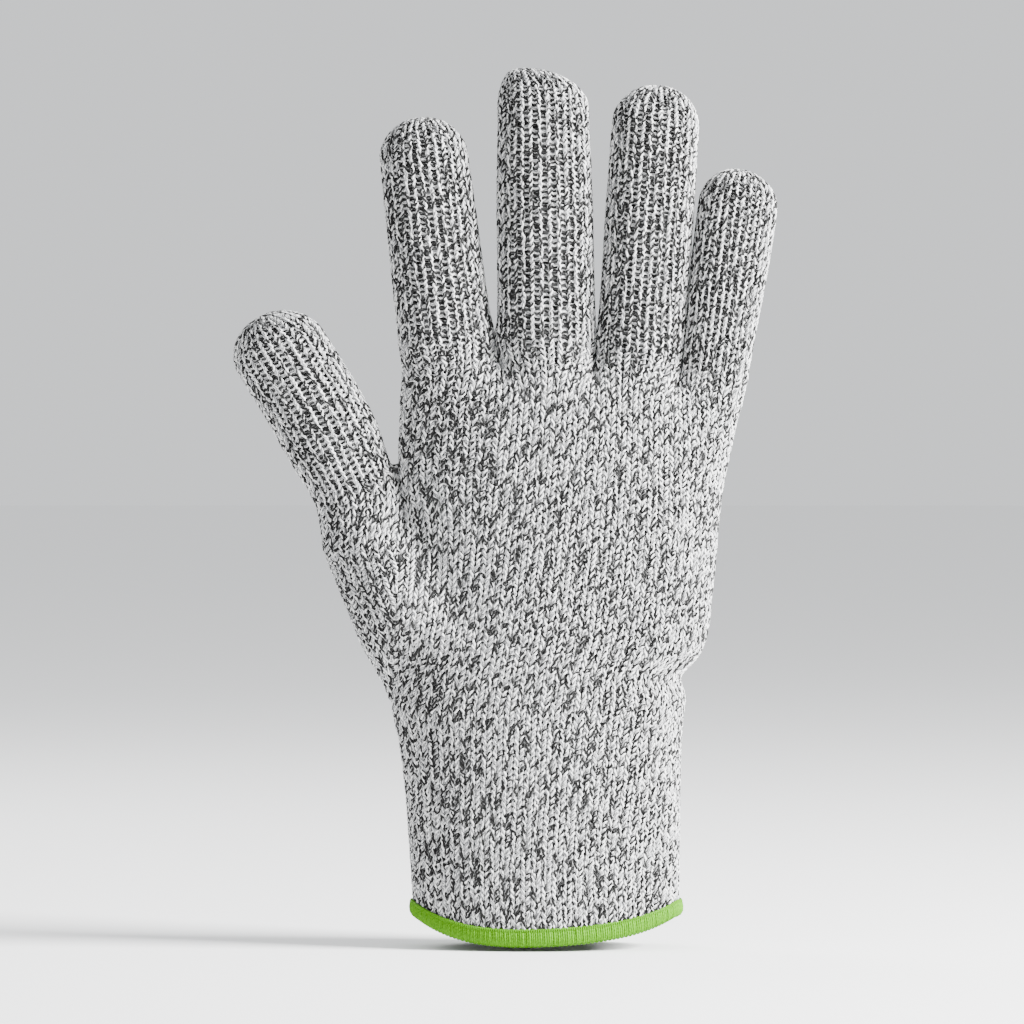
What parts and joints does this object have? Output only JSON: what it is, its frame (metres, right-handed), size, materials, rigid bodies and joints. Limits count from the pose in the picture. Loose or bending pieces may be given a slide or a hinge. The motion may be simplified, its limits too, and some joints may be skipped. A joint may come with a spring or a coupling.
{
  "type": "cut resistant glove",
  "caption": "Seamless machine-knitted cut resistant glove in grey marl yarn with a green overlocked cuff, filled as worn, with bending wrist, knuckles, fingers and thumb.",
  "frame": {"origin": "middle of the cuff's mouth, level with the lowest point of its edge", "axes": "+Z from the cuff to the fingertips, +X from the thumb to the little finger, +Y from the back of the hand to the palm"},
  "size_m": [0.1477, 0.0432, 0.2404],
  "materials": {
    "marl_knit": "salt-and-pepper marl knit of light grey and black strands, matt",
    "green_overlock": "yellow-green polyester overlock thread, slight sheen",
    "elastic_yarn": "covered elastic yarn, matt"
  },
  "bodies": {
    "cuff": {"cuff_rib": "marl_knit", "cuff_hem": "green_overlock", "cuff_elastic": "elastic_yarn"},
    "palm": {"palm": "marl_knit"},
    "knuckle_band": {"knuckle_band": "marl_knit"},
    "index_base": {"index_base": "marl_knit"},
    "index_middle": {"index_middle": "marl_knit"},
    "index_tip": {"index_tip": "marl_knit"},
    "middle_base": {"middle_base": "marl_knit"},
    "middle_middle": {"middle_middle": "marl_knit"},
    "middle_tip": {"middle_tip": "marl_knit"},
    "ring_base": {"ring_base": "marl_knit"},
    "ring_middle": {"ring_middle": "marl_knit"},
    "ring_tip": {"ring_tip": "marl_knit"},
    "little_base": {"little_base": "marl_knit"},
    "little_middle": {"little_middle": "marl_knit"},
    "little_tip": {"little_tip": "marl_knit"},
    "thumb_base": {"thumb_base": "marl_knit"},
    "thumb_tip": {"thumb_tip": "marl_knit"}
  },
  "joints": [
    {"name": "wrist_flex", "type": "hinge", "parent": "cuff", "child": "palm", "pos_m": [0, 0, 0.075], "axis": [-1, 0, 0], "range_deg": [-40, 40], "stiffness_Nm_per_rad": 0.5},
    {"name": "knuckle_fold", "type": "hinge", "parent": "palm", "child": "knuckle_band", "pos_m": [0, 0, 0.1377], "axis": [-0.9959, 0, 0.0906], "range_deg": [-15, 60], "stiffness_Nm_per_rad": 0.2},
    {"name": "index_base_flex", "type": "hinge", "parent": "knuckle_band", "child": "index_base", "pos_m": [-0.02782, 0, 0.17097], "axis": [-0.9947, 0, -0.1028], "range_deg": [-10, 25], "stiffness_Nm_per_rad": 0.04},
    {"name": "index_middle_flex", "type": "hinge", "parent": "index_base", "child": "index_middle", "pos_m": [-0.02966, 0.00094, 0.18885], "axis": [-0.9947, 0, -0.1028], "range_deg": [0, 90], "stiffness_Nm_per_rad": 0.012},
    {"name": "index_tip_flex", "type": "hinge", "parent": "index_middle", "child": "index_tip", "pos_m": [-0.03175, 0.00415, 0.20899], "axis": [-0.9947, 0, -0.1028], "range_deg": [0, 60], "stiffness_Nm_per_rad": 0.006},
    {"name": "middle_base_flex", "type": "hinge", "parent": "knuckle_band", "child": "middle_base", "pos_m": [-0.00043, 0, 0.1704], "axis": [-0.9998, 0, -0.0209], "range_deg": [-10, 25], "stiffness_Nm_per_rad": 0.04},
    {"name": "middle_middle_flex", "type": "hinge", "parent": "middle_base", "child": "middle_middle", "pos_m": [-0.00089, 0.00115, 0.19236], "axis": [-0.9998, 0, -0.0209], "range_deg": [0, 90], "stiffness_Nm_per_rad": 0.012},
    {"name": "middle_tip_flex", "type": "hinge", "parent": "middle_middle", "child": "middle_tip", "pos_m": [-0.00142, 0.00522, 0.21804], "axis": [-0.9998, 0, -0.0209], "range_deg": [0, 60], "stiffness_Nm_per_rad": 0.006},
    {"name": "ring_base_flex", "type": "hinge", "parent": "knuckle_band", "child": "ring_base", "pos_m": [0.02579, 0, 0.16839], "axis": [-0.9979, 0, 0.0645], "range_deg": [-10, 25], "stiffness_Nm_per_rad": 0.04},
    {"name": "ring_middle_flex", "type": "hinge", "parent": "ring_base", "child": "ring_middle", "pos_m": [0.02708, 0.00105, 0.18832], "axis": [-0.9979, 0, 0.0645], "range_deg": [0, 90], "stiffness_Nm_per_rad": 0.012},
    {"name": "ring_tip_flex", "type": "hinge", "parent": "ring_middle", "child": "ring_tip", "pos_m": [0.02861, 0.0048, 0.21197], "axis": [-0.9979, 0, 0.0645], "range_deg": [0, 60], "stiffness_Nm_per_rad": 0.006},
    {"name": "little_base_flex", "type": "hinge", "parent": "knuckle_band", "child": "little_base", "pos_m": [0.0466, 0, 0.16195], "axis": [-0.9903, 0, 0.1392], "range_deg": [-10, 25], "stiffness_Nm_per_rad": 0.04},
    {"name": "little_middle_flex", "type": "hinge", "parent": "little_base", "child": "little_middle", "pos_m": [0.04868, 0.00078, 0.17678], "axis": [-0.9903, 0, 0.1392], "range_deg": [0, 90], "stiffness_Nm_per_rad": 0.012},
    {"name": "little_tip_flex", "type": "hinge", "parent": "little_middle", "child": "little_tip", "pos_m": [0.05115, 0.0036, 0.19439], "axis": [-0.9903, 0, 0.1392], "range_deg": [0, 60], "stiffness_Nm_per_rad": 0.006},
    {"name": "thumb_base_flex", "type": "hinge", "parent": "palm", "child": "thumb_base", "pos_m": [-0.0574, 0, 0.1352], "axis": [-0.7769, 0.5, -0.3826], "range_deg": [-10, 35], "stiffness_Nm_per_rad": 0.04},
    {"name": "thumb_tip_flex", "type": "hinge", "parent": "thumb_base", "child": "thumb_tip", "pos_m": [-0.0652, 0, 0.1496], "axis": [-0.7464, 0.5, -0.4392], "range_deg": [0, 60], "stiffness_Nm_per_rad": 0.012}
  ],
  "couplings": [
    {"joint": "index_tip_flex", "follows": "index_middle_flex", "ratio": 0.6666},
    {"joint": "middle_tip_flex", "follows": "middle_middle_flex", "ratio": 0.6666},
    {"joint": "ring_tip_flex", "follows": "ring_middle_flex", "ratio": 0.6666},
    {"joint": "little_tip_flex", "follows": "little_middle_flex", "ratio": 0.6666}
  ]
}
